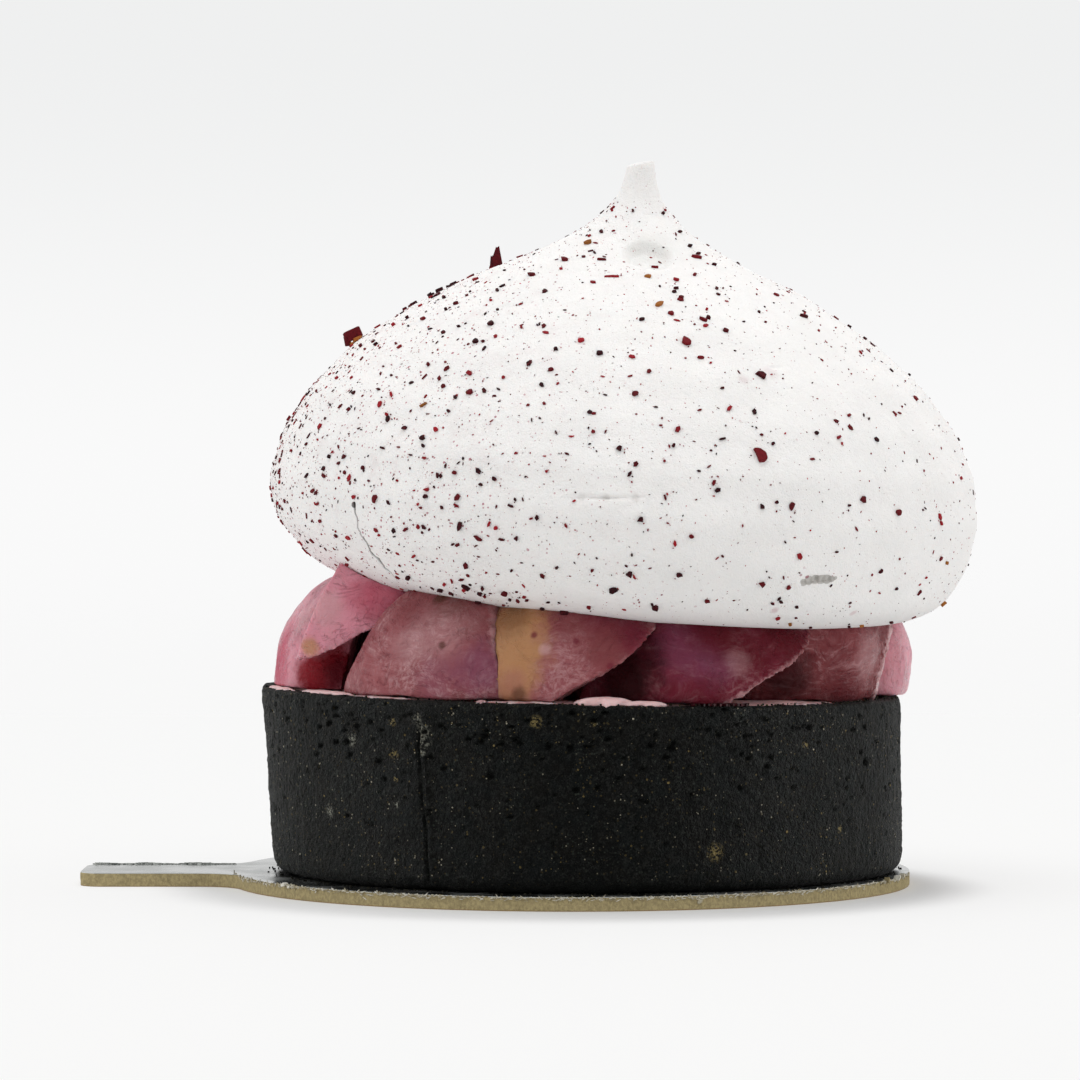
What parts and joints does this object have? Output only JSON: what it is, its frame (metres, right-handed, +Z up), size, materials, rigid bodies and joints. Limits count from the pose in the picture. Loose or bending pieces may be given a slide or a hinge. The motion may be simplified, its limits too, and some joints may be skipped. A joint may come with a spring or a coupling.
{
  "type": "fruit tart",
  "caption": "Round black shortcrust tart filled with cream, ringed with poached fruit slices and topped with one large piped meringue, on a small tabbed card.",
  "frame": {"origin": "centre of the round part of the card, on its underside", "axes": "+Z up; the card's tab points along -X; the side shown in the picture faces -Y"},
  "size_m": [0.1055, 0.0834, 0.0852],
  "materials": {
    "card": "greyboard with a silver face",
    "crust": "baked charcoal shortcrust, stone stands in for pastry",
    "cream": "set cream, gloss plastic stands in",
    "fruit": "wet poached fruit, gloss plastic stands in",
    "meringue": "dry matt meringue, stone stands in",
    "flakes": "dried fruit flakes"
  },
  "bodies": {
    "root": {"card": "card", "pastry_shell": "crust", "cream": "cream", "meringue": "meringue", "fruit_slice_01": "fruit", "fruit_slice_02": "fruit", "fruit_slice_03": "fruit", "fruit_slice_04": "fruit", "fruit_slice_05": "fruit", "fruit_slice_06": "fruit", "fruit_slice_07": "fruit", "fruit_slice_08": "fruit", "fruit_slice_09": "fruit", "fruit_slice_10": "fruit", "fruit_slice_11": "fruit"}
  },
  "joints": []
}
